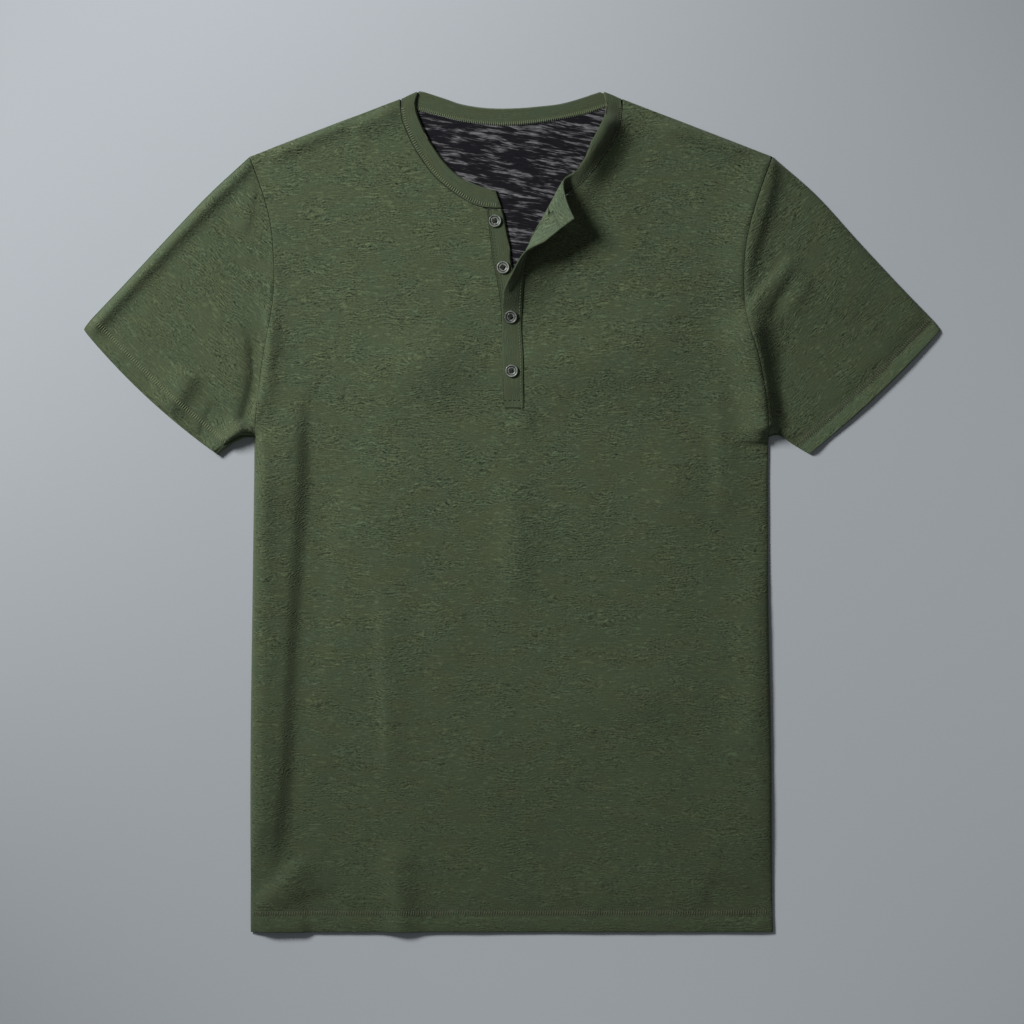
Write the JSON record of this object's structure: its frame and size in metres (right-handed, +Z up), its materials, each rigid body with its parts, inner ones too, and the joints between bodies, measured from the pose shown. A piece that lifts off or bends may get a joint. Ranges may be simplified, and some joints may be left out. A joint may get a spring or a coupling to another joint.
{
  "type": "henley shirt",
  "caption": "Short-sleeved henley shirt laid flat, round neckband, buttoned front placket open at the top with one corner turned back.",
  "frame": {"origin": "on the floor, under the middle of the shirt's outline", "axes": "+X to the wearer's left, +Y to the neck, +Z up from the floor"},
  "size_m": [0.7538, 0.7396, 0.0234],
  "materials": {
    "green_jersey": "matt knitted jersey",
    "green_band": "matt knitted jersey",
    "marl_backed_jersey": "matt knitted jersey, dark marl inside",
    "button_grey": "satin"
  },
  "bodies": {
    "root": {"front": "green_jersey", "back": "marl_backed_jersey", "sleeve_right": "green_jersey", "sleeve_left": "green_jersey", "neckband": "green_band", "placket_under": "green_band", "placket_over": "green_band", "button_1": "button_grey", "button_2": "button_grey", "button_3": "button_grey", "button_4": "button_grey"}
  },
  "joints": []
}
